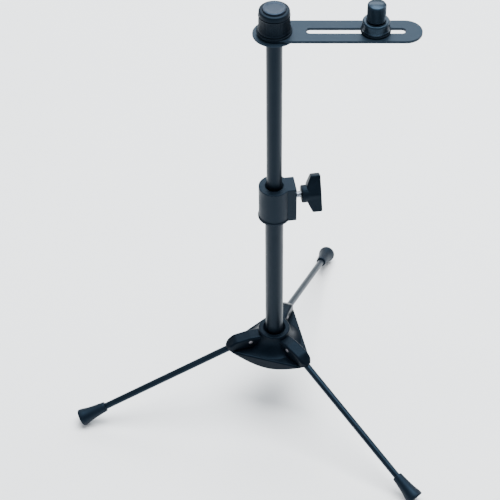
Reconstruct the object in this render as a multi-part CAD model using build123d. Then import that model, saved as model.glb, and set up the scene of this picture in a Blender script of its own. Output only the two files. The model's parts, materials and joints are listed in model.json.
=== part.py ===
from build123d import *
import math
import os

# Small folding table stand: a three-legged base, a telescoping post held by a wing screw, and a
# slotted bar on top that carries a threaded spigot.
# Millimetres, +Z up. The origin is on the post axis, at the level the feet stand on.
# The slotted bar points along +X.

# ---- legs and feet -------------------------------------------------------------------------
LEG_NAMES = ["left", "front", "back"]
LEG_AZIMUTH = 193.0        # direction of the left leg, the others follow at equal steps
LEG_SLOPE = 23.7           # fall of an opened leg below level, degrees
LEG_LENGTH = 189.3         # hinge pin to the end of the foot
LEG_D = 6.5
LEG_PIN_D = 3.0
PIVOT_R = 25.0             # hinge pin from the post axis
FOOT_LENGTH = 28.0
FOOT_END_R = 8.5
FOOT_EDGE = 1.2            # rounding round the end of the foot
FOOT_WAIST_R = 6.3
FOOT_NECK_R = 4.9
FOOT_SOLE = 4.0            # rubber beyond the end of the rod
FOOT_COLLAR = 2.0          # straight part at the foot's mouth
FOOT_LAND = 3.0            # straight part at the foot's end, with its rounding

# ---- hub -----------------------------------------------------------------------------------
HUB_DROP = 20.5            # underside below the hinge pins
SKIRT_R = 28.5
SKIRT_HEIGHT = 12.0
SKIRT_EDGE_R = 1.5
SKIRT_LEDGE = 0.6          # skirt standing out beside the arms
BOSS_R = 15.5
BOSS_RISE = 10.0           # boss top above the hinge pins
BOSS_FUNNEL = 2.6          # bevel round the mouth of the post socket
BOSS_EDGE_R = 1.2
FLARE_INSET = 2.0          # end of the flare inside the skirt, and below the boss top
FLARE_HOLLOW = 2.1         # how far the flare's side is hollowed, inwards and down
ARM_WIDTH = 13.0
ARM_TIP_R = 49.0
ARM_ROOF = 1.8             # plastic over the leg at its hinge
ARM_TIP_FALL = 3.0         # fall of the roof from the hinge to the start of the tip
ARM_NOSE = 0.5             # plastic over the leg where the tip's face is carried past it
ARM_BROW_R = 10.0          # rounding where the roof turns down
ARM_BROW_SET = 2.0         # start of the brow inside the tip's centre
ARM_EDGE_R = 1.8
ARM_UNDERCUT = 34.0        # rise of the underside outside the skirt, degrees
SOCKET_FLOOR = 10.5        # socket floor above the underside
HUB_SCREW_D = 6.0
HUB_SCREW_HEAD_R = 5.4
HUB_SCREW_HEAD_T = 3.2
HUB_SCREW_FLOOR = 3.0      # plastic between the washer's seat and the socket floor
HUB_SCREW_KEY = 4.0        # across the flats of the hexagon socket
HUB_SCREW_KEY_DEPTH = 2.0
HUB_WASHER_R = 6.6
HUB_WASHER_T = 1.0
HUB_WASHER_ROOM = 0.5      # round the washer in its well

# ---- post ----------------------------------------------------------------------------------
TUBE_D = 17.0
TUBE_WALL = 1.2
TUBE_LENGTH = 185.0
TUBE_PLUG_LENGTH = 8.0
ROD_D = 14.0
ROD_WALL = 1.2
ROD_BELOW = 10.0           # rod below the collar, inside the tube
ROD_SHOWN = 169.0          # rod standing out of the collar
ROD_PLUG_LENGTH = 15.0
GLIDE_LENGTH = 6.0
GLIDE_SPIGOT = 10.0

# ---- clamp collar and wing screw -----------------------------------------------------------
COLLAR_R = 14.3
COLLAR_HEIGHT = 37.0
COLLAR_GRIP = 15.0         # length of tube held inside the collar
COLLAR_LIP = 0.7
COLLAR_LIP_HEIGHT = 2.5
COLLAR_BEVEL = 1.6         # bevel round the rod at the collar's mouth
BLOCK_WIDTH = 19.0
BLOCK_REACH = 19.3         # end face of the clamp block from the post axis
CLAMP_AZIMUTH = 9.0
CLAMP_RISE = 8.0           # screw axis above the tube's end
CLAMP_D = 6.0
CLAMP_SHOWN = 5.4          # screw between the block and the knob
CLAMP_NUT_WIDTH = 10.0
CLAMP_NUT_THICK = 4.0
CLAMP_NUT_COVER = 2.1      # plastic between the nut and the block's end
PAD_LENGTH = 3.5
WING_NECK_R = 8.2
WING_NECK = 5.2
WING_REACH = 18.4          # neck face to the outer face
WING_TIP = 9.0             # tip thickness along the screw
WING_SPAN = 35.4
WING_WIDTH = 10.0
WING_ROLL = 24.0           # lean of the wings from upright
WING_SCREW_GRIP = 11.0     # screw moulded into the knob

# ---- slotted bar and its knob --------------------------------------------------------------
BAR_WIDTH = 29.0
BAR_T = 2.2
BAR_REACH = 108.5          # centre of the far rounded end
SLOT_WIDTH = 7.0
SLOT_START = 26.5
SLOT_END = 109.0
DISC_R = 18.4
DISC_T = 1.2
HEAD_D = 8.0               # stud through the bar
KNOB_WASHER_R = 15.0
KNOB_WASHER_T = 1.5
KNOB_FOOT_R = 13.8
KNOB_RIM_R = 13.2
KNOB_HEIGHT = 20.0
KNOB_EDGE = 1.2
KNOB_CAP_R = 9.8
KNOB_CAP_T = 3.5
KNOB_CAP_SEAT = 1.6        # depth of the cap's seat in the knob
INSERT_R = 5.8
INSERT_LENGTH = 12.0

# ---- fitting in the slot -------------------------------------------------------------------
FITTING_X = 84.0
BOLT_D = 6.0
BOLT_HEAD_R = 5.4
BOLT_HEAD_T = 3.4
BOLT_GRIP = 14.5           # bolt inside the spigot
UNDER_WASHER_R = 9.0
UNDER_WASHER_T = 1.2
BASE_WASHER_R = 12.7
BASE_WASHER_T = 2.0
NUT_RING_R = 11.9
NUT_RING_TOP_R = 11.3
NUT_RING_HEIGHT = 8.7
SPIGOT_D = 15.875          # 5/8 inch
SPIGOT_LENGTH = 16.0       # above the ring
SPIGOT_BEVEL = 0.8
SPIGOT_STEP = 0.65         # the shank in the ring is this much inside the thread
SPIGOT_RELIEF = 0.3        # the thread starts this far above the ring

# ---- clearances ----------------------------------------------------------------------------
RUNNING = 0.05             # round a shaft that turns or slides in its bore
SIDE_GAP = 0.35            # beside a leg in its slot
STACK_GAP = 0.1            # between stacked faces that turn on each other
THROUGH = 0.2              # round a stud in a plain hole
SLOT_SIDE_GAP = 0.2        # beside the bolt's neck in the bar's slot

# ---- levels that follow --------------------------------------------------------------------
SLOPE = math.radians(LEG_SLOPE)
LEG_R = LEG_D / 2
FOOT_END_Z = (FOOT_END_R - FOOT_EDGE) * math.cos(SLOPE) + FOOT_EDGE * (1 - math.sin(SLOPE))
PIVOT_Z = FOOT_END_Z + LEG_LENGTH * math.sin(SLOPE)
HUB_BOTTOM_Z = PIVOT_Z - HUB_DROP
SKIRT_TOP_Z = HUB_BOTTOM_Z + SKIRT_HEIGHT
BOSS_TOP_Z = PIVOT_Z + BOSS_RISE
LEG_ROOM = LEG_R + SIDE_GAP
ARM_ROOF_Z = PIVOT_Z + LEG_ROOM + ARM_ROOF
ARM_TIP_CENTRE = ARM_TIP_R - ARM_WIDTH / 2
TUBE_FOOT_Z = HUB_BOTTOM_Z + SOCKET_FLOOR
HUB_SCREW_WELL_R = HUB_WASHER_R + HUB_WASHER_ROOM
HUB_SCREW_SEAT_Z = TUBE_FOOT_Z - HUB_SCREW_FLOOR
TUBE_TOP_Z = TUBE_FOOT_Z + TUBE_LENGTH
TUBE_BORE_R = TUBE_D / 2 - TUBE_WALL
COLLAR_BOTTOM_Z = TUBE_TOP_Z - COLLAR_GRIP
COLLAR_TOP_Z = COLLAR_BOTTOM_Z + COLLAR_HEIGHT
CLAMP_Z = TUBE_TOP_Z + CLAMP_RISE
ROD_TOP_Z = COLLAR_TOP_Z + ROD_SHOWN
ROD_FOOT_Z = COLLAR_BOTTOM_Z - ROD_BELOW
ROD_BORE_R = ROD_D / 2 - ROD_WALL
DISC_TOP_Z = ROD_TOP_Z + DISC_T
BAR_BOTTOM_Z = DISC_TOP_Z + STACK_GAP
BAR_TOP_Z = BAR_BOTTOM_Z + BAR_T
KNOB_WASHER_Z = BAR_TOP_Z + STACK_GAP
KNOB_FOOT_Z = KNOB_WASHER_Z + KNOB_WASHER_T + STACK_GAP
KNOB_RIM_Z = KNOB_FOOT_Z + KNOB_HEIGHT
NUT_INNER = BLOCK_REACH - CLAMP_NUT_COVER - CLAMP_NUT_THICK
PAD_FACE = ROD_D / 2 + STACK_GAP
PAD_BACK = PAD_FACE + PAD_LENGTH
WING_FACE = BLOCK_REACH + CLAMP_SHOWN
BASE_WASHER_Z = BAR_TOP_Z + STACK_GAP
RING_Z = BASE_WASHER_Z + BASE_WASHER_T + STACK_GAP
RING_TOP_Z = RING_Z + NUT_RING_HEIGHT
SPIGOT_TOP_Z = RING_TOP_Z + SPIGOT_LENGTH
BASE = (Align.CENTER, Align.CENTER, Align.MIN)

# The leg frame has its origin at the hinge pin and +Z along the leg towards the foot.
LEG_FRAME = Plane(
    origin=(PIVOT_R, 0, PIVOT_Z),
    x_dir=(math.sin(SLOPE), 0, math.cos(SLOPE)),
    z_dir=(math.cos(SLOPE), 0, -math.sin(SLOPE)),
)
# The clamp frame has its origin on the post axis and +Z out along the wing screw.
CLAMP_FRAME = Location((0, 0, CLAMP_Z), (0, 0, CLAMP_AZIMUTH)) * Plane.YZ.location


def disc(radius, z_low, z_high):
    """A round solid on the Z axis between two levels."""
    return Pos(0, 0, z_low) * Cylinder(radius, z_high - z_low, align=BASE)


def ring(radius, bore, z_low, z_high):
    """A round solid with a bore right through."""
    return disc(radius, z_low, z_high) - disc(bore, z_low - 1, z_high + 1)


def side_profile(points):
    """A closed face in the XZ plane."""
    return make_face(Plane.XZ * Polyline(*points, close=True))


def leg_azimuths():
    return [LEG_AZIMUTH + 360 / len(LEG_NAMES) * i for i in range(len(LEG_NAMES))]


# ---- hub -----------------------------------------------------------------------------------
def skirt_plan():
    """The round base drawn out to the three arm tips by tangent sides."""
    outline = Circle(SKIRT_R).edges()
    for azimuth in leg_azimuths():
        tip = Rot(0, 0, azimuth) * Pos(ARM_TIP_CENTRE, 0) * Circle(ARM_WIDTH / 2 + SKIRT_LEDGE)
        outline = outline + tip.edges()
    return make_hull(outline)


def hub_core():
    """The boss and its hollow-sided flare, turned about the post axis."""
    lip = (SKIRT_R - FLARE_INSET, SKIRT_TOP_Z)
    root = (BOSS_R, BOSS_TOP_Z - FLARE_INSET)
    sag = ((lip[0] + root[0]) / 2 - FLARE_HOLLOW, (lip[1] + root[1]) / 2 - FLARE_HOLLOW)
    walls = Polyline((0, HUB_BOTTOM_Z + 1), (0, BOSS_TOP_Z), (BOSS_R, BOSS_TOP_Z), root)
    flare = ThreePointArc(root, sag, lip)
    under = Polyline(lip, (lip[0], HUB_BOTTOM_Z + 1), (0, HUB_BOTTOM_Z + 1))
    core = revolve(make_face(Plane.XZ * (walls + flare + under)), Axis.Z)
    return fillet(core.edges().group_by(Axis.Z)[-1], BOSS_EDGE_R)


def arm():
    """One arm over its leg, pointing along +X, with a falling roof and a rounded tip."""
    tall = BOSS_TOP_Z - HUB_BOTTOM_Z
    plan = Pos(ARM_TIP_CENTRE / 2, 0) * Rectangle(ARM_TIP_CENTRE, ARM_WIDTH)
    plan = plan + Pos(ARM_TIP_CENTRE, 0) * Circle(ARM_WIDTH / 2)
    block = extrude(Pos(0, 0, HUB_BOTTOM_Z) * plan, tall)
    brow = (ARM_TIP_CENTRE - ARM_BROW_SET, ARM_ROOF_Z - ARM_TIP_FALL)
    nose_x = ARM_TIP_R + 3
    nose_fall = (nose_x - PIVOT_R) * math.tan(SLOPE)
    nose_z = PIVOT_Z - nose_fall + LEG_ROOM / math.cos(SLOPE) + ARM_NOSE
    side = side_profile([
        (0, HUB_BOTTOM_Z),
        (nose_x, HUB_BOTTOM_Z),
        (nose_x, nose_z),
        brow,
        (PIVOT_R, ARM_ROOF_Z),
        (0, ARM_ROOF_Z),
    ])
    side = fillet(side.vertices().sort_by_distance((brow[0], 0, brow[1]))[:1], ARM_BROW_R)
    shape = block & extrude(side, ARM_WIDTH, both=True)
    upper = shape.edges().filter_by(lambda e: e.bounding_box().min.Z > SKIRT_TOP_Z + 1)
    return fillet(upper.filter_by(lambda e: abs(e.center().Y) > 1), ARM_EDGE_R)


def arm_undercut():
    """Waste under the arms, outside the skirt."""
    reach = ARM_TIP_R + 10
    rise = (reach - SKIRT_R) * math.tan(math.radians(ARM_UNDERCUT))
    low = HUB_BOTTOM_Z - 1
    face = side_profile([
        (SKIRT_R, low),
        (reach, low),
        (reach, HUB_BOTTOM_Z + rise),
        (SKIRT_R, HUB_BOTTOM_Z),
    ])
    return revolve(face, Axis.Z)


def leg_slot():
    """Room for one leg, pointing along +X: open below and at the arm's tip."""
    reach = ARM_TIP_R + 5
    shoulder_x = PIVOT_R + LEG_ROOM * math.sin(SLOPE)
    shoulder_z = PIVOT_Z + LEG_ROOM * math.cos(SLOPE)
    face = side_profile([
        (PIVOT_R - LEG_ROOM, HUB_BOTTOM_Z - 1),
        (PIVOT_R - LEG_ROOM, PIVOT_Z + LEG_ROOM),
        (PIVOT_R, PIVOT_Z + LEG_ROOM),
        (shoulder_x, shoulder_z),
        (reach, shoulder_z - (reach - shoulder_x) * math.tan(SLOPE)),
        (reach, HUB_BOTTOM_Z - 1),
    ])
    return extrude(face, LEG_ROOM, both=True)


def pin_hole():
    return Pos(PIVOT_R, 0, PIVOT_Z) * Rot(90, 0, 0) * Cylinder(LEG_PIN_D / 2, ARM_WIDTH + 4)


def hub():
    skirt = extrude(Pos(0, 0, HUB_BOTTOM_Z) * skirt_plan(), SKIRT_HEIGHT)
    skirt = fillet(skirt.edges().group_by(Axis.Z)[-1], SKIRT_EDGE_R)
    body = skirt + hub_core()
    for azimuth in leg_azimuths():
        body = body + Rot(0, 0, azimuth) * arm()
    body = body - arm_undercut()
    for azimuth in leg_azimuths():
        body = body - Rot(0, 0, azimuth) * leg_slot()
        body = body - Rot(0, 0, azimuth) * pin_hole()
    funnel_z = BOSS_TOP_Z - BOSS_FUNNEL
    body = body - disc(TUBE_D / 2, TUBE_FOOT_Z, BOSS_TOP_Z + 1)
    funnel = Cone(TUBE_D / 2, TUBE_D / 2 + BOSS_FUNNEL, BOSS_FUNNEL, align=BASE)
    body = body - Pos(0, 0, funnel_z) * funnel
    body = body - disc(HUB_SCREW_WELL_R, HUB_BOTTOM_Z - 1, HUB_SCREW_SEAT_Z)
    return body - disc(HUB_SCREW_D / 2 + THROUGH, HUB_BOTTOM_Z, TUBE_FOOT_Z + 1)


# ---- hub screw, holding the tube down ------------------------------------------------------
def hex_key_socket(across, depth):
    """A hexagon recess, opening downwards at z 0."""
    return extrude(RegularPolygon(across / math.sqrt(3), 6), depth)


def hub_screw():
    head_z = HUB_SCREW_SEAT_Z - HUB_WASHER_T - HUB_SCREW_HEAD_T
    head = disc(HUB_SCREW_HEAD_R, head_z, head_z + HUB_SCREW_HEAD_T)
    head = fillet(head.edges().group_by(Axis.Z)[0], 1.0)
    shank_top = TUBE_FOOT_Z + TUBE_PLUG_LENGTH - 1
    body = head + disc(HUB_SCREW_D / 2, head_z + 1, shank_top)
    return body - Pos(0, 0, head_z) * hex_key_socket(HUB_SCREW_KEY, HUB_SCREW_KEY_DEPTH)


def hub_washer():
    low = HUB_SCREW_SEAT_Z - HUB_WASHER_T
    return ring(HUB_WASHER_R, HUB_SCREW_D / 2, low, HUB_SCREW_SEAT_Z)


# ---- legs ----------------------------------------------------------------------------------
def leg_rod():
    """One leg, pointing along +X, with a ball-shaped end on its hinge pin."""
    length = LEG_LENGTH - FOOT_SOLE
    rod = Cylinder(LEG_R, length, align=BASE) + Sphere(LEG_R)
    rod = chamfer(rod.edges().group_by(Axis.Z)[-1], 0.5)
    bore = Rot(90, 0, 0) * Cylinder(LEG_PIN_D / 2 + RUNNING, 3 * LEG_R)
    return LEG_FRAME.location * (rod - bore)


def foot():
    """A rubber foot, pointing along +X: a waisted bell on the end of the rod."""
    end = LEG_LENGTH
    mouth = end - FOOT_LENGTH
    inner = Polyline(
        (FOOT_END_R - FOOT_EDGE, end),
        (0, end),
        (0, end - FOOT_SOLE),
        (LEG_R, end - FOOT_SOLE),
        (LEG_R, mouth),
        (FOOT_NECK_R - 0.6, mouth),
        (FOOT_NECK_R, mouth + 0.6),
        (FOOT_NECK_R + 0.3, mouth + FOOT_COLLAR),
    )
    bell = Spline(
        (FOOT_NECK_R + 0.3, mouth + FOOT_COLLAR),
        (FOOT_WAIST_R, end - 0.5 * FOOT_LENGTH),
        (FOOT_END_R, end - FOOT_LAND),
        tangents=[(0.12, 1), (0.15, 1)],
    )
    rim = Line((FOOT_END_R, end - FOOT_LAND), (FOOT_END_R, end - FOOT_EDGE))
    half = math.sqrt(0.5) * FOOT_EDGE
    corner = (FOOT_END_R - FOOT_EDGE + half, end - FOOT_EDGE + half)
    round_over = ThreePointArc((FOOT_END_R, end - FOOT_EDGE), corner, (FOOT_END_R - FOOT_EDGE, end))
    outline = Plane.XZ * (inner + bell + rim + round_over)
    return LEG_FRAME.location * revolve(make_face(outline), Axis.Z)


def leg_pin():
    pin = Cylinder(LEG_PIN_D / 2, ARM_WIDTH + 0.8)
    pin = chamfer(pin.edges().filter_by(GeomType.CIRCLE), 0.4)
    return Pos(PIVOT_R, 0, PIVOT_Z) * Rot(90, 0, 0) * pin


# ---- post ----------------------------------------------------------------------------------
def lower_tube():
    return ring(TUBE_D / 2, TUBE_BORE_R, TUBE_FOOT_Z, TUBE_TOP_Z)


def tube_end_plug():
    top = TUBE_FOOT_Z + TUBE_PLUG_LENGTH
    return ring(TUBE_BORE_R, HUB_SCREW_D / 2, TUBE_FOOT_Z, top)


def upper_rod():
    return ring(ROD_D / 2, ROD_BORE_R, ROD_FOOT_Z, ROD_TOP_Z)


def glide_plug():
    """A plug that runs in the tube and centres the rod's lower end."""
    seat = ROD_FOOT_Z - STACK_GAP
    shoe = disc(TUBE_BORE_R - RUNNING, seat - GLIDE_LENGTH, seat)
    shoe = chamfer(shoe.edges().group_by(Axis.Z)[0], 1.0)
    return shoe + disc(ROD_BORE_R - RUNNING, seat - 1, seat + GLIDE_SPIGOT)


def rod_top_plug():
    low = ROD_TOP_Z - ROD_PLUG_LENGTH
    return ring(ROD_BORE_R, HEAD_D / 2, low, ROD_TOP_Z)


def head_stud():
    """The stud that stands in the rod's plug and holds the bar and the knob."""
    top = KNOB_FOOT_Z + INSERT_LENGTH - 0.5
    stud = disc(HEAD_D / 2, ROD_TOP_Z - ROD_PLUG_LENGTH + 1, top)
    return chamfer(stud.edges().filter_by(GeomType.CIRCLE), 0.8)


def support_disc():
    plate = ring(DISC_R, HEAD_D / 2, ROD_TOP_Z, DISC_TOP_Z)
    return chamfer(plate.edges().group_by(Axis.Z)[-1].sort_by(SortBy.LENGTH)[-1], 0.3)


# ---- clamp collar --------------------------------------------------------------------------
def collar():
    """A round sleeve on the tube's end with a square block for the wing screw."""
    sleeve = disc(COLLAR_R, COLLAR_BOTTOM_Z, COLLAR_TOP_Z)
    lip = disc(COLLAR_R + COLLAR_LIP, COLLAR_BOTTOM_Z, COLLAR_BOTTOM_Z + COLLAR_LIP_HEIGHT)
    lip = chamfer(lip.edges(), 0.6 * COLLAR_LIP)
    block = Box(BLOCK_REACH, BLOCK_WIDTH, COLLAR_HEIGHT, align=(Align.MIN, Align.CENTER, Align.MIN))
    block = fillet(block.edges().filter_by(Axis.Z).group_by(Axis.X)[-1], 0.8)
    block = Rot(0, 0, CLAMP_AZIMUTH) * Pos(0, 0, COLLAR_BOTTOM_Z) * block
    body = sleeve + block
    body = fillet(body.edges().group_by(Axis.Z)[-1], 0.7)
    body = body + lip
    body = body - disc(TUBE_D / 2, COLLAR_BOTTOM_Z - 1, TUBE_TOP_Z)
    body = body - disc(ROD_D / 2 + RUNNING, COLLAR_BOTTOM_Z, COLLAR_TOP_Z + 1)
    bevel = Cone(ROD_D / 2, ROD_D / 2 + COLLAR_BEVEL, COLLAR_BEVEL, align=BASE)
    body = body - Pos(0, 0, COLLAR_TOP_Z - COLLAR_BEVEL) * bevel
    body = body - CLAMP_FRAME * Cylinder(CLAMP_D / 2 + THROUGH, BLOCK_REACH + 5, align=BASE)
    return body - clamp_nut_room()


def clamp_nut_room():
    """A pocket for the captive nut, open below."""
    top = CLAMP_Z + CLAMP_NUT_WIDTH / 2
    height = top - COLLAR_BOTTOM_Z + 1
    room = Box(CLAMP_NUT_THICK, CLAMP_NUT_WIDTH, height, align=(Align.MIN, Align.CENTER, Align.MIN))
    return Rot(0, 0, CLAMP_AZIMUTH) * Pos(NUT_INNER, 0, COLLAR_BOTTOM_Z - 1) * room


def clamp_nut():
    nut = Box(CLAMP_NUT_WIDTH, CLAMP_NUT_WIDTH, CLAMP_NUT_THICK, align=BASE)
    nut = nut - Cylinder(CLAMP_D / 2 + RUNNING, 3 * CLAMP_NUT_THICK)
    return CLAMP_FRAME * Pos(0, 0, NUT_INNER) * nut


def pressure_pad():
    """A short pad between the screw and the rod, hollowed to fit the rod."""
    pad = Pos(0, 0, ROD_D / 4) * Cylinder(CLAMP_D / 2, PAD_BACK - ROD_D / 4, align=BASE)
    pad = CLAMP_FRAME * pad
    return pad - disc(PAD_FACE, CLAMP_Z - CLAMP_D, CLAMP_Z + CLAMP_D)


def clamp_stud():
    start = PAD_BACK + STACK_GAP
    stud = Cylinder(CLAMP_D / 2, WING_FACE + WING_SCREW_GRIP - start, align=BASE)
    stud = chamfer(stud.edges().group_by(Axis.Z)[0], 0.6)
    return CLAMP_FRAME * Pos(0, 0, start) * stud


def wing_knob():
    """Two wings on a round neck, moulded over the screw."""
    inner = WING_REACH - WING_TIP
    half = WING_SPAN / 2
    outline = Polyline(
        (WING_NECK_R - 1, WING_NECK),
        (half, inner),
        (half, WING_REACH),
        (-half, WING_REACH),
        (-half, inner),
        (1 - WING_NECK_R, WING_NECK),
        close=True,
    )
    wings = extrude(make_face(Plane.XZ * outline), WING_WIDTH / 2, both=True)
    wings = fillet(wings.edges().filter_by(lambda e: abs(e.center().X) > half - 0.5), 1.3)
    neck = Cylinder(WING_NECK_R, WING_REACH - 2, align=BASE)
    neck = fillet(neck.edges().group_by(Axis.Z)[0], 0.8)
    neck = fillet(neck.edges().group_by(Axis.Z)[-1], 2.0)
    body = wings + neck
    body = body - Pos(0, 0, -1) * Cylinder(CLAMP_D / 2, WING_SCREW_GRIP + 1, align=BASE)
    return CLAMP_FRAME * Pos(0, 0, WING_FACE) * Rot(0, 0, 90 + WING_ROLL) * body


# ---- bar and knob --------------------------------------------------------------------------
def slotted_bar():
    plan = Pos(BAR_REACH / 2, 0) * SlotCenterToCenter(BAR_REACH, BAR_WIDTH)
    slot_length = SLOT_END - SLOT_START
    slot = Pos((SLOT_START + SLOT_END) / 2, 0) * SlotOverall(slot_length, SLOT_WIDTH)
    bar = extrude(plan - slot, BAR_T) - Cylinder(HEAD_D / 2 + THROUGH, 4 * BAR_T)
    bar = chamfer(bar.edges().group_by(Axis.Z)[-1], 0.25)
    return Pos(0, 0, BAR_BOTTOM_Z) * bar


def knob_washer():
    top = KNOB_WASHER_Z + KNOB_WASHER_T
    washer = ring(KNOB_WASHER_R, HEAD_D / 2 + THROUGH, KNOB_WASHER_Z, top)
    return chamfer(washer.edges().group_by(Axis.Z)[-1].sort_by(SortBy.LENGTH)[-1], 0.4)


def top_knob():
    body = Cone(KNOB_FOOT_R, KNOB_RIM_R, KNOB_HEIGHT, align=BASE)
    body = fillet(body.edges().group_by(Axis.Z)[-1], KNOB_EDGE)
    body = Pos(0, 0, KNOB_FOOT_Z) * body
    body = body - disc(INSERT_R, KNOB_FOOT_Z - 1, KNOB_FOOT_Z + INSERT_LENGTH)
    return body - disc(KNOB_CAP_R, KNOB_RIM_Z - KNOB_CAP_SEAT, KNOB_RIM_Z + 1)


def knob_insert():
    return ring(INSERT_R, HEAD_D / 2 + RUNNING, KNOB_FOOT_Z, KNOB_FOOT_Z + INSERT_LENGTH)


def knob_cap():
    low = KNOB_RIM_Z - KNOB_CAP_SEAT
    cap = disc(KNOB_CAP_R, low, low + KNOB_CAP_T)
    return fillet(cap.edges().group_by(Axis.Z)[-1], 0.6)


# ---- fitting in the slot -------------------------------------------------------------------
def slot_bolt():
    """A bolt from below with a square neck that the slot keeps from turning."""
    washer_top = BAR_BOTTOM_Z - STACK_GAP
    head_top = washer_top - UNDER_WASHER_T
    head = disc(BOLT_HEAD_R, head_top - BOLT_HEAD_T, head_top)
    head = fillet(head.edges().group_by(Axis.Z)[0], 1.4)
    neck_width = SLOT_WIDTH - 2 * SLOT_SIDE_GAP
    neck_height = BAR_TOP_Z - head_top - 0.3
    neck = Pos(0, 0, head_top) * Box(neck_width, neck_width, neck_height, align=BASE)
    shank = disc(BOLT_D / 2, head_top, RING_Z + BOLT_GRIP)
    shank = chamfer(shank.edges().group_by(Axis.Z)[-1], 0.6)
    return Pos(FITTING_X, 0, 0) * (head + neck + shank)


def under_washer():
    high = BAR_BOTTOM_Z - STACK_GAP
    washer = disc(UNDER_WASHER_R, high - UNDER_WASHER_T, high)
    neck_width = SLOT_WIDTH - 2 * SLOT_SIDE_GAP
    washer = washer - Pos(0, 0, high) * Box(neck_width, neck_width, 4 * UNDER_WASHER_T)
    return Pos(FITTING_X, 0, 0) * washer


def base_washer():
    top = BASE_WASHER_Z + BASE_WASHER_T
    washer = ring(BASE_WASHER_R, BOLT_D / 2 + THROUGH, BASE_WASHER_Z, top)
    washer = chamfer(washer.edges().group_by(Axis.Z)[-1].sort_by(SortBy.LENGTH)[-1], 0.5)
    return Pos(FITTING_X, 0, 0) * washer


def spigot_ring():
    """The gripping ring pressed on the foot of the spigot."""
    body = Pos(0, 0, RING_Z) * Cone(NUT_RING_R, NUT_RING_TOP_R, NUT_RING_HEIGHT, align=BASE)
    body = chamfer(body.edges().group_by(Axis.Z)[-1], 0.6)
    body = body - disc(SPIGOT_D / 2 - SPIGOT_STEP, RING_Z - 1, RING_TOP_Z + 1)
    return Pos(FITTING_X, 0, 0) * body


def spigot():
    body = disc(SPIGOT_D / 2, RING_TOP_Z + SPIGOT_RELIEF, SPIGOT_TOP_Z)
    body = chamfer(body.edges().group_by(Axis.Z)[-1], SPIGOT_BEVEL)
    body = body + disc(SPIGOT_D / 2 - SPIGOT_STEP, RING_Z, RING_TOP_Z + SPIGOT_RELIEF)
    body = body - disc(BOLT_D / 2 + RUNNING, RING_Z - 1, RING_Z + BOLT_GRIP + 0.5)
    return Pos(FITTING_X, 0, 0) * body


# ---- all pieces ----------------------------------------------------------------------------
def all_parts():
    parts = {
        "hub": hub(),
        "hub_screw": hub_screw(),
        "hub_washer": hub_washer(),
        "lower_tube": lower_tube(),
        "tube_end_plug": tube_end_plug(),
        "collar": collar(),
        "clamp_nut": clamp_nut(),
        "pressure_pad": pressure_pad(),
        "clamp_stud": clamp_stud(),
        "wing_knob": wing_knob(),
        "glide_plug": glide_plug(),
        "upper_rod": upper_rod(),
        "rod_top_plug": rod_top_plug(),
        "head_stud": head_stud(),
        "support_disc": support_disc(),
        "slotted_bar": slotted_bar(),
        "knob_washer": knob_washer(),
        "top_knob": top_knob(),
        "knob_insert": knob_insert(),
        "knob_cap": knob_cap(),
        "slot_bolt": slot_bolt(),
        "under_washer": under_washer(),
        "base_washer": base_washer(),
        "spigot_ring": spigot_ring(),
        "spigot": spigot(),
    }
    for name, azimuth in zip(LEG_NAMES, leg_azimuths()):
        turn = Rot(0, 0, azimuth)
        parts["leg_rod_" + name] = turn * leg_rod()
        parts["foot_" + name] = turn * foot()
        parts["leg_pin_" + name] = turn * leg_pin()
    return parts


def export_all():
    os.makedirs("parts", exist_ok=True)
    for name, shape in all_parts().items():
        export_step(shape, os.path.join("parts", name + ".step"))


export_all()
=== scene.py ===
import json
import math

import bmesh
import bpy
from mathutils import Matrix, Vector


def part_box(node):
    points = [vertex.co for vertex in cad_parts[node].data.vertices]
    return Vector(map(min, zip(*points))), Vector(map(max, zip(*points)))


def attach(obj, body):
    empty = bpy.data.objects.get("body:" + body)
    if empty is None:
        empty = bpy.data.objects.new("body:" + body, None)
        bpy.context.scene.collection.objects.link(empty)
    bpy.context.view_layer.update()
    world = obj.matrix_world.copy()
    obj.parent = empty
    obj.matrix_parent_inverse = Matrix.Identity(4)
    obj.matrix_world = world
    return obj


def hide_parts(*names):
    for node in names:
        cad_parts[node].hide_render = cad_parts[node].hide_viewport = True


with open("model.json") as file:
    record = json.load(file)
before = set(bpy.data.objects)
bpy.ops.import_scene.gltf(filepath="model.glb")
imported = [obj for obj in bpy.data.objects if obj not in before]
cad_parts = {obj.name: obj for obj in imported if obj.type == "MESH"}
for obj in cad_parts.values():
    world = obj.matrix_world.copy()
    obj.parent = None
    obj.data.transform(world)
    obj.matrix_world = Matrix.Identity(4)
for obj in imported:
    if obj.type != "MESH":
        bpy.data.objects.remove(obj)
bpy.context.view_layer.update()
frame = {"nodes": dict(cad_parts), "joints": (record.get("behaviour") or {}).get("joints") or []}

# A small folding table stand in black: moulded hub, collar and knobs, painted tubes and bar,
# rubber feet, and a threaded spigot. Lengths are in metres unless a line says millimetres.

MM = 0.001
MERGE_DISTANCE = 1e-7


# ---- places read from the frame ------------------------------------------------------------
def corners(node):
    low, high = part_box(node)
    return Vector(low), Vector(high)


def middle(node):
    low, high = corners(node)
    return (low + high) / 2


def levels(node):
    low, high = corners(node)
    return low.z, high.z


def half_width(node):
    low, high = corners(node)
    return (high.x - low.x) / 2


def joint(name):
    return next(j for j in frame["joints"] if j["name"] == name)


def upright(node):
    """A frame with +Z up whose origin is under the node's middle, at its lowest level."""
    spot = middle(node)
    return Matrix.Translation((spot.x, spot.y, levels(node)[0]))


def along(origin, direction, roll_to=Vector((0, 0, 1))):
    """A frame whose +Z runs along a direction, with +X as near to roll_to as it can be."""
    z = Vector(direction).normalized()
    x = (roll_to - z * roll_to.dot(z)).normalized()
    y = z.cross(x)
    turn = Matrix((x, y, z)).transposed().to_4x4()
    return Matrix.Translation(origin) @ turn


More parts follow.
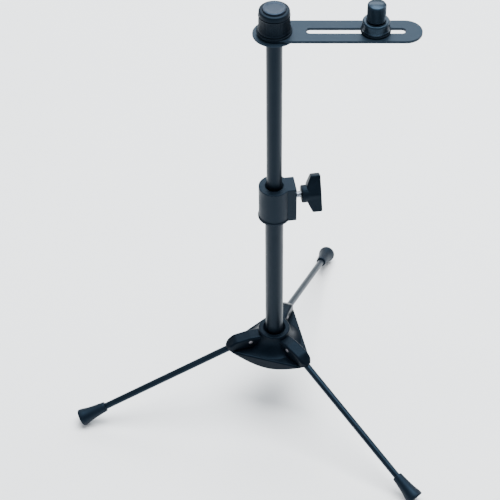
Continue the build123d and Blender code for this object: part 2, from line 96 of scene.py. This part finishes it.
# ---- mesh helpers --------------------------------------------------------------------------
def turned(profile, steps=96):
    """A bmesh turned about +Z from (radius, height) points in millimetres."""
    bm = bmesh.new()
    verts = [bm.verts.new((r * MM, 0, z * MM)) for r, z in profile]
    edges = [bm.edges.new(pair) for pair in zip(verts, verts[1:])]
    bmesh.ops.spin(
        bm, geom=verts + edges, cent=(0, 0, 0), axis=(0, 0, 1), dvec=(0, 0, 0),
        angle=math.tau, steps=steps, use_merge=True, use_duplicate=False)
    return cleaned(bm)


def cleaned(bm):
    """The same bmesh with its doubled vertices merged and its faces turned outwards."""
    bmesh.ops.remove_doubles(bm, verts=bm.verts, dist=MERGE_DISTANCE)
    bmesh.ops.recalc_face_normals(bm, faces=bm.faces)
    return bm


def soften(bm, width, segments, least_turn):
    """Rounds the edges that turn by more than a given number of degrees."""
    sharp = [e for e in bm.edges
             if e.is_manifold and e.calc_face_angle(0) > math.radians(least_turn)]
    bmesh.ops.bevel(
        bm, geom=sharp, offset=width * MM, offset_type="OFFSET", segments=segments,
        profile=0.5, affect="EDGES", clamp_overlap=True, material=-1)


def add_piece(bm, name, body, material, place, stands_for, sharp_turn=40):
    """Sets a finished bmesh in its place and gives it to a body."""
    bm.transform(place)
    mesh = bpy.data.meshes.new(name)
    bm.to_mesh(mesh)
    bm.free()
    for polygon in mesh.polygons:
        polygon.use_smooth = True
    mesh.set_sharp_from_angle(angle=math.radians(sharp_turn))
    piece = bpy.data.objects.new(name, mesh)
    bpy.context.scene.collection.objects.link(piece)
    mesh.materials.append(material)
    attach(piece, body)
    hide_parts(*stands_for)


FLUTE_EDGE = 0.12
FLUTE_LAND = 0.5
WALL_LEAN = 0.3


def fluted(bm, low, high, count, depth):
    """Sinks upright flutes into a turned wall between two heights in millimetres."""
    step = math.tau / count
    chosen = []
    for face in bm.faces:
        mid = face.calc_center_median()
        in_band = low * MM < mid.z < high * MM and abs(face.normal.z) < WALL_LEAN
        if in_band and math.atan2(mid.y, mid.x) % step > FLUTE_LAND * step:
            chosen.append(face)
    bmesh.ops.inset_region(
        bm, faces=chosen, thickness=FLUTE_EDGE * MM, depth=-depth * MM, use_even_offset=True,
        use_boundary=True)


THREAD_FLANK = 2.6
THREAD_ROOT_FLAT = 0.15
THREAD_LEVELS = 8


def threaded(crest, depth, pitch, low, high, steps, bevel):
    """A threaded rod along +Z between two heights, with bevelled ends, in millimetres."""
    count = round((high - low) / pitch * THREAD_LEVELS)
    heights = [low + (high - low) * i / count for i in range(count + 1)]
    walls = [(crest, z) for z in heights]
    bm = turned([(0.0, low)] + walls + [(0.0, high)], steps=steps)
    for vert in bm.verts:
        radius = math.hypot(vert.co.x, vert.co.y) / MM
        if radius < crest / 2:
            continue
        z = vert.co.z / MM
        phase = (z / pitch - math.atan2(vert.co.y, vert.co.x) / math.tau) % 1.0
        flank = abs(phase - 0.5) * THREAD_FLANK - THREAD_ROOT_FLAT
        ridge = min(1.0, max(0.0, flank))
        nearest_end = min(z - low, high - z)
        wanted = min(crest - depth * (1.0 - ridge), crest - bevel + nearest_end)
        scale = wanted / radius
        vert.co.x *= scale
        vert.co.y *= scale
    return cleaned(bm)


# ---- materials -----------------------------------------------------------------------------
NOISE_LOW = 0.3
NOISE_HIGH = 0.7
NOISE_ROUGHNESS = 0.55
GRAIN_STRENGTH = 0.6
BLUE_GLOSS = (0.38, 0.66, 1.0)
PLAIN_GLOSS = (1.0, 1.0, 1.0)


def node_material(name):
    material = bpy.data.materials.new(name)
    material.use_nodes = True
    tree = material.node_tree
    shader = tree.nodes["Principled BSDF"]
    coords = tree.nodes.new("ShaderNodeTexCoord")
    return material, tree, shader, coords.outputs["Object"]


def noise(tree, coords, scale, detail=3.0):
    node = tree.nodes.new("ShaderNodeTexNoise")
    node.inputs["Scale"].default_value = scale
    node.inputs["Detail"].default_value = detail
    node.inputs["Roughness"].default_value = NOISE_ROUGHNESS
    tree.links.new(coords, node.inputs["Vector"])
    return node.outputs["Fac"]


def spread(tree, value, low, high):
    """Maps a noise value to a range of numbers."""
    node = tree.nodes.new("ShaderNodeMapRange")
    node.inputs["From Min"].default_value = NOISE_LOW
    node.inputs["From Max"].default_value = NOISE_HIGH
    node.inputs["To Min"].default_value = low
    node.inputs["To Max"].default_value = high
    tree.links.new(value, node.inputs["Value"])
    return node.outputs["Result"]


def two_tone(tree, value, dark, light):
    ramp = tree.nodes.new("ShaderNodeValToRGB")
    ramp.color_ramp.elements[0].position = NOISE_LOW
    ramp.color_ramp.elements[0].color = (*dark, 1)
    ramp.color_ramp.elements[1].position = NOISE_HIGH
    ramp.color_ramp.elements[1].color = (*light, 1)
    tree.links.new(value, ramp.inputs["Fac"])
    return ramp.outputs["Color"]


def bumped(tree, shader, value, distance):
    bump = tree.nodes.new("ShaderNodeBump")
    bump.inputs["Strength"].default_value = GRAIN_STRENGTH
    bump.inputs["Distance"].default_value = distance
    tree.links.new(value, bump.inputs["Height"])
    tree.links.new(bump.outputs["Normal"], shader.inputs["Normal"])


def finish_of(name, dark, light, rough, grain, grain_depth, metallic=0.0, patch=60.0,
              specular=0.5, gloss_tint=BLUE_GLOSS):
    """A surface with slow colour patches, uneven gloss and a fine grain."""
    material, tree, shader, coords = node_material(name)
    patches = noise(tree, coords, patch, detail=4.0)
    fine = noise(tree, coords, grain, detail=2.0)
    tree.links.new(two_tone(tree, patches, dark, light), shader.inputs["Base Color"])
    low, high = rough
    tree.links.new(spread(tree, patches, low, high), shader.inputs["Roughness"])
    shader.inputs["Metallic"].default_value = metallic
    shader.inputs["Specular IOR Level"].default_value = specular
    if not metallic:
        shader.inputs["Specular Tint"].default_value = (*gloss_tint, 1)
    bumped(tree, shader, fine, grain_depth)
    return material


hub_plastic = finish_of(
    "hub_moulding", (0.0014, 0.0026, 0.0046), (0.0028, 0.0048, 0.0080), (0.30, 0.42),
    2600, 0.00005, specular=0.08)
collar_plastic = finish_of(
    "collar_moulding", (0.0024, 0.0046, 0.0078), (0.0046, 0.0078, 0.0125), (0.42, 0.55),
    2600, 0.00006, specular=0.15)
knob_plastic = finish_of(
    "knob_moulding", (0.0016, 0.0028, 0.0048), (0.0032, 0.0052, 0.0084), (0.42, 0.55),
    3200, 0.00005, specular=0.15)
cap_plastic = finish_of(
    "cap_moulding", (0.0075, 0.0095, 0.0165), (0.0120, 0.0150, 0.0250), (0.34, 0.46),
    2200, 0.00004, specular=0.3)
tube_paint = finish_of(
    "tube_powder_coat", (0.0018, 0.0034, 0.0056), (0.0034, 0.0058, 0.0092), (0.32, 0.42),
    900, 0.00004, specular=0.14)
leg_paint = finish_of(
    "leg_paint", (0.0018, 0.0034, 0.0056), (0.0034, 0.0058, 0.0092), (0.28, 0.40),
    1100, 0.00003, specular=0.24)
bar_paint = finish_of(
    "bar_powder_coat", (0.0045, 0.0085, 0.0135), (0.0075, 0.0125, 0.0190), (0.40, 0.50),
    1000, 0.00005, specular=0.24)
foot_rubber = finish_of(
    "foot_rubber", (0.0016, 0.0028, 0.0050), (0.0034, 0.0054, 0.0092), (0.46, 0.62),
    1800, 0.00008, specular=0.2)
washer_rubber = finish_of(
    "washer_rubber", (0.0012, 0.0020, 0.0032), (0.0026, 0.0038, 0.0058), (0.52, 0.68),
    2000, 0.00006, specular=0.16)
black_steel = finish_of(
    "blackened_steel", (0.0040, 0.0075, 0.0115), (0.0080, 0.0130, 0.0195), (0.28, 0.40),
    1800, 0.00002, specular=0.35)
zinc = finish_of(
    "zinc_plate", (0.42, 0.45, 0.50), (0.60, 0.63, 0.68), (0.26, 0.40),
    2400, 0.00002, metallic=1.0)
rivet_steel = finish_of(
    "dull_rivet_steel", (0.16, 0.155, 0.17), (0.26, 0.25, 0.27), (0.40, 0.52),
    2400, 0.00002, metallic=1.0)
nylon = finish_of(
    "natural_nylon", (0.62, 0.61, 0.56), (0.72, 0.71, 0.66), (0.42, 0.52),
    1500, 0.00004, gloss_tint=PLAIN_GLOSS)

CAD_FINISHES = {
    "hub": hub_plastic,
    "collar": collar_plastic,
    "lower_tube": tube_paint,
    "upper_rod": tube_paint,
    "support_disc": bar_paint,
    "slotted_bar": bar_paint,
    "knob_washer": washer_rubber,
    "under_washer": washer_rubber,
    "base_washer": washer_rubber,
    "pressure_pad": nylon,
    "glide_plug": nylon,
}


def finish_cad_nodes():
    """Every carried-over node gets its finish; metal inside the stand is zinc plated."""
    for name, node in frame["nodes"].items():
        finish = CAD_FINISHES.get(name, leg_paint if name.startswith("leg_rod") else zinc)
        node.data.materials.clear()
        node.data.materials.append(finish)


# ---- knob on top of the post ---------------------------------------------------------------
KNOB_FOOT_TOP = 2.2
KNOB_FLUTES = 60
KNOB_RING_BELOW_TOP = 5.2
CAP_CLEARANCE = 0.1
CAP_DISH = 0.4


def make_top_knob():
    """The fluted knob with its smooth upper ring and the well its cap sits in."""
    low, high = levels("top_knob")
    height = (high - low) / MM
    foot = half_width("top_knob") / MM
    rim = foot - 0.6
    cap_r = half_width("knob_cap") / MM
    insert_r = half_width("knob_insert") / MM
    insert_top = (levels("knob_insert")[1] - low) / MM
    seat = (levels("knob_cap")[0] - low) / MM
    ring_z = height - KNOB_RING_BELOW_TOP
    bm = turned([
        (insert_r, 0.0), (foot - 0.5, 0.0), (foot, 0.5), (foot, 1.6),
        (foot - 0.35, KNOB_FOOT_TOP), (foot - 0.55, ring_z - 0.9), (foot - 0.3, ring_z - 0.4),
        (foot - 0.3, ring_z), (rim - 0.7, ring_z + 0.15), (rim - 0.7, ring_z + 0.55),
        (rim, ring_z + 0.75), (rim - 0.1, height - 1.4), (rim - 0.45, height - 0.5),
        (rim - 1.2, height), (cap_r + 0.25, height), (cap_r + CAP_CLEARANCE, height - 0.2),
        (cap_r + CAP_CLEARANCE, seat), (0.0, seat), (0.0, insert_top), (insert_r, insert_top),
        (insert_r, 0.0),
    ], steps=240)
    fluted(bm, KNOB_FOOT_TOP, ring_z - 0.95, KNOB_FLUTES, 0.35)
    add_piece(bm, "knob_body", "knob", knob_plastic, upright("top_knob"),
              ["top_knob"])


def make_knob_cap():
    """The plain button in the knob, dished a little in its middle."""
    low, high = levels("knob_cap")
    height = (high - low) / MM
    radius = half_width("knob_cap") / MM
    bm = turned([
        (0.0, 0.0), (radius, 0.0), (radius, height - 0.9), (radius - 0.25, height - 0.3),
        (radius - 0.9, height), (radius - 1.8, height - 0.05), (radius - 2.6, height - 0.3),
        (0.5 * radius, height - CAP_DISH + 0.02), (0.0, height - CAP_DISH),
    ], steps=120)
    add_piece(bm, "knob_button", "knob", cap_plastic, upright("knob_cap"),
              ["knob_cap"])


# ---- wing screw ----------------------------------------------------------------------------
def clamp_frame():
    """Origin on the post axis at the screw's height, +Z out along the screw, +X up."""
    turn = joint("clamp_turn")
    axis = Vector(turn["axis"])
    spot = Vector(turn["pos_m"])
    origin = spot - axis * spot.dot(axis)
    return along(origin, axis)


def reach_along(node, place):
    """Nearest and furthest vertex of a node along a frame's +Z."""
    back = place.inverted()
    heights = [(back @ v.co).z for v in frame["nodes"][node].data.vertices]
    return min(heights) / MM, max(heights) / MM


WING_ROLL = math.radians(24)
WING_SPAN = 35.4
WING_NECK_R = 8.2
WING_TIP_HALF = 4.2
WING_ROOT = 5.2
WING_DISH = 0.5
WING_SECTIONS = 24
WING_TIP_DEPTH = 9.0
WING_TAPER = 1.2
WING_ROUNDING = 1.2
NECK_INSET = 0.2


def make_wing_knob():
    """Two flat wings cut from one block and joined to a round neck."""
    place = clamp_frame()
    near, far = reach_along("wing_knob", place)
    deep = far - near
    tip = deep - WING_TIP_DEPTH
    half = WING_SPAN / 2
    wings = bmesh.new()
    bmesh.ops.create_cube(wings, size=2.0)
    for i in range(1, WING_SECTIONS):
        bmesh.ops.bisect_plane(
            wings, geom=wings.verts[:] + wings.edges[:] + wings.faces[:], dist=MERGE_DISTANCE,
            plane_co=(2 * i / WING_SECTIONS - 1, 0, 0), plane_no=(1, 0, 0))
    for vert in wings.verts:
        out = abs(vert.co.x)
        past_neck = max(0.0, (out * half - WING_NECK_R) / (half - WING_NECK_R))
        swell = WING_NECK_R - NECK_INSET - WING_TIP_HALF
        thick = WING_TIP_HALF + swell * (1 - out) ** WING_TAPER
        inner = WING_ROOT + (tip - WING_ROOT) * past_neck
        outer = deep - WING_DISH * (1 - out)
        z = outer if vert.co.z > 0 else inner
        vert.co = Vector((vert.co.x * half, math.copysign(thick, vert.co.y), z)) * MM
    soften(cleaned(wings), WING_ROUNDING, segments=4, least_turn=50)
    neck = turned([
        (0.0, 0.0), (WING_NECK_R - 0.9, 0.0), (WING_NECK_R - 0.3, 0.25), (WING_NECK_R, 0.9),
        (WING_NECK_R, 5.6), (WING_NECK_R - 0.6, 8.0), (0.0, 8.0),
    ], steps=72)
    merged = joined_solids(wings, neck)
    roll = Matrix.Rotation(-WING_ROLL, 4, "Z")
    lift = Matrix.Translation((0, 0, near * MM))
    add_piece(merged, "wing_grip", "wing_screw", knob_plastic,
              place @ lift @ roll, ["wing_knob"], sharp_turn=50)


def joined_solids(first, second):
    """The union of two closed shapes, as a new bmesh."""
    objects = []
    for bm in (first, second):
        mesh = bpy.data.meshes.new("stock")
        bm.to_mesh(mesh)
        bm.free()
        stock = bpy.data.objects.new("stock", mesh)
        bpy.context.scene.collection.objects.link(stock)
        objects.append(stock)
    union = objects[0].modifiers.new("join", "BOOLEAN")
    union.operation = "UNION"
    union.solver = "EXACT"
    union.object = objects[1]
    bpy.context.view_layer.update()
    depsgraph = bpy.context.evaluated_depsgraph_get()
    merged = bmesh.new()
    merged.from_object(objects[0], depsgraph)
    for stock in objects:
        bpy.data.objects.remove(stock)
    return cleaned(merged)


CLAMP_CREST_R = 2.98
CLAMP_PITCH = 1.0


def make_clamp_screw():
    """The threaded stud behind the wing knob."""
    place = clamp_frame()
    near, far = reach_along("clamp_stud", place)
    bm = threaded(CLAMP_CREST_R, 0.5, CLAMP_PITCH, near, far, steps=36, bevel=0.6)
    add_piece(bm, "wing_screw_stud", "wing_screw", zinc, place, ["clamp_stud"],
              sharp_turn=60)


# ---- fitting in the slot -------------------------------------------------------------------
SPIGOT_PITCH = 0.94
SPIGOT_ABOVE_RING = 0.3
RING_FOOT_TOP = 1.8
RING_FLUTES = 54


def make_spigot():
    """The threaded pin that stands above its ring."""
    low, high = levels("spigot")
    ring_top = (levels("spigot_ring")[1] - low) / MM
    top = (high - low) / MM
    radius = half_width("spigot") / MM
    bm = threaded(radius - 0.01, 0.42, SPIGOT_PITCH, ring_top + SPIGOT_ABOVE_RING, top,
                  steps=72, bevel=0.9)
    add_piece(bm, "spigot_thread", "spigot", black_steel, upright("spigot"),
              ["spigot"], sharp_turn=60)


def make_spigot_ring():
    """The knurled ring at the foot of the spigot."""
    low, high = levels("spigot_ring")
    height = (high - low) / MM
    radius = half_width("spigot_ring") / MM
    bore = half_width("spigot") / MM - 0.45
    bm = turned([
        (bore, 0.0), (radius - 0.4, 0.0), (radius, 0.4), (radius, 1.5),
        (radius - 0.35, RING_FOOT_TOP),
        (radius - 0.45, height - 1.5), (radius - 0.5, height - 1.0),
        (radius - 1.1, height - 0.25), (radius - 1.6, height), (bore + 0.6, height),
        (bore, height - 0.5), (bore, 0.0),
    ], steps=216)
    fluted(bm, RING_FOOT_TOP, height - 1.5, RING_FLUTES, 0.3)
    add_piece(bm, "gripping_ring", "spigot", black_steel,
              upright("spigot_ring"), ["spigot_ring"])


# ---- feet and hinge pins -------------------------------------------------------------------
LEG_NAMES = ("left", "front", "back")
LEG_SLOPE = math.radians(23.7)
FOOT_END_R = 8.5
FOOT_EDGE = 1.2
FOOT_BORE_R = 3.2
FOOT_BORE_FLOOR = 4.0
FOOT_FLARE = ((4.0, 0.0), (4.75, 0.35), (5.0, 1.0), (5.1, 2.2), (5.35, 5.0), (5.75, 9.0),
              (6.2, 13.0), (6.75, 17.0), (7.45, 20.5), (8.05, 23.0), (8.4, 24.6))


def leg_frame(name):
    """Origin at the hinge pin, +Z down the leg."""
    pin = Vector(joint("leg_fold_" + name)["pos_m"])
    outward = Vector((pin.x, pin.y, 0)).normalized()
    return along(pin, outward * math.cos(LEG_SLOPE) - Vector((0, 0, math.sin(LEG_SLOPE))))


def make_foot(name):
    """A flared rubber foot with a rounded rim and a shallow dished end."""
    place = leg_frame(name)
    near, far = reach_along("foot_" + name, place)
    rim = [(FOOT_END_R - FOOT_EDGE * (1 - math.cos(math.radians(a))),
            far - FOOT_EDGE * (1 - math.sin(math.radians(a)))) for a in range(0, 91, 15)]
    flare = [(radius, near + down) for radius, down in FOOT_FLARE]
    bm = turned([(FOOT_BORE_R, near)] + flare + rim + [
        (FOOT_END_R - 2.4, far), (FOOT_END_R - 2.8, far - 0.35),
        (3.4, far - 0.35), (3.0, far - 0.05), (0.0, far - 0.02),
        (0.0, far - FOOT_BORE_FLOOR), (FOOT_BORE_R, far - FOOT_BORE_FLOOR), (FOOT_BORE_R, near),
    ])
    add_piece(bm, "rubber_foot_" + name, "leg_" + name, foot_rubber, place,
              ["foot_" + name])


RIVET_HEAD_R = 2.05
RIVET_SHANK_R = 1.5
RIVET_HEAD_HEIGHT = 0.4


def make_leg_pin(name):
    """A hinge rivet with a low domed head on each end."""
    fold = joint("leg_fold_" + name)
    place = along(Vector(fold["pos_m"]), Vector(fold["axis"]))
    near, far = reach_along("leg_pin_" + name, place)
    wall = far - RIVET_HEAD_HEIGHT
    head = [(RIVET_SHANK_R, wall), (RIVET_HEAD_R, wall), (RIVET_HEAD_R - 0.05, wall + 0.05),
            (1.6, far - 0.2), (0.9, far - 0.05), (0.0, far)]
    bm = turned([(radius, -z) for radius, z in reversed(head)] + head, steps=40)
    add_piece(bm, "hinge_rivet_" + name, "base", rivet_steel, place,
              ["leg_pin_" + name], sharp_turn=60)


# ---- floor, lights and camera --------------------------------------------------------------
FLOOR_HALF = 6.0
FLOOR_DARK = (0.90, 0.90, 0.90)
FLOOR_LIGHT = (0.93, 0.93, 0.93)
FLOOR_ROUGHNESS = 0.9
SKY_COLOUR = (0.86, 0.93, 1.0)
SKY_STRENGTH = 0.55
STAND_MIDDLE = (0, 0, 0.2)
# name, place, what it points at, width and height, watts, colour
LIGHTS = (
    ("overhead", (0.2, 0.5, 3.0), (0, 0, 0), (2.6, 2.2), 260, (0.95, 0.98, 1.0)),
    ("back_panel", (0.0, 2.6, 1.9), STAND_MIDDLE, (2.6, 0.9), 60, (0.86, 0.94, 1.0)),
    ("right_strip", (1.7, 0.7, 0.9), STAND_MIDDLE, (0.4, 1.6), 16, (1.0, 1.0, 1.0)),
)
CAMERA_PITCH = math.radians(45.51)
CAMERA_DISTANCE = 1.582
CAMERA_AIM_Z = 0.1561
CAMERA_LENS = 119.16
CAMERA_SHIFT = (-0.0485, 0.064)
CAMERA_SENSOR = 36.0


def make_stage():
    bm = bmesh.new()
    bmesh.ops.create_grid(bm, x_segments=1, y_segments=1, size=FLOOR_HALF)
    mesh = bpy.data.meshes.new("floor")
    bm.to_mesh(mesh)
    bm.free()
    floor = bpy.data.objects.new("floor", mesh)
    bpy.context.scene.collection.objects.link(floor)
    material, tree, shader, coords = node_material("floor_paint")
    patches = noise(tree, coords, 3.0)
    tone = two_tone(tree, patches, FLOOR_DARK, FLOOR_LIGHT)
    tree.links.new(tone, shader.inputs["Base Color"])
    shader.inputs["Roughness"].default_value = FLOOR_ROUGHNESS
    mesh.materials.append(material)


def area_light(name, spot, target, size, power, colour):
    light = bpy.data.lights.new(name, "AREA")
    light.shape = "RECTANGLE"
    light.size, light.size_y = size
    light.energy = power
    light.color = colour
    lamp = bpy.data.objects.new(name, light)
    bpy.context.scene.collection.objects.link(lamp)
    lamp.location = spot
    aim = Vector(target) - Vector(spot)
    lamp.rotation_euler = aim.to_track_quat("-Z", "Y").to_euler()


def make_lights():
    world = bpy.data.worlds.new("studio")
    bpy.context.scene.world = world
    world.use_nodes = True
    sky = world.node_tree.nodes["Background"]
    sky.inputs["Color"].default_value = (*SKY_COLOUR, 1)
    sky.inputs["Strength"].default_value = SKY_STRENGTH
    for light in LIGHTS:
        area_light(*light)


def make_camera():
    data = bpy.data.cameras.new("camera")
    data.sensor_width = CAMERA_SENSOR
    data.lens = CAMERA_LENS
    data.shift_x, data.shift_y = CAMERA_SHIFT
    camera = bpy.data.objects.new("camera", data)
    bpy.context.scene.collection.objects.link(camera)
    back = -math.cos(CAMERA_PITCH) * CAMERA_DISTANCE
    up = CAMERA_AIM_Z + math.sin(CAMERA_PITCH) * CAMERA_DISTANCE
    camera.location = (0, back, up)
    camera.rotation_euler = (math.pi / 2 - CAMERA_PITCH, 0, 0)
    bpy.context.scene.camera = camera


# ---- making --------------------------------------------------------------------------------
make_camera()
make_lights()
make_stage()
finish_cad_nodes()
make_top_knob()
make_knob_cap()
make_wing_knob()
make_clamp_screw()
make_spigot()
make_spigot_ring()
for leg_name in LEG_NAMES:
    make_foot(leg_name)
    make_leg_pin(leg_name)
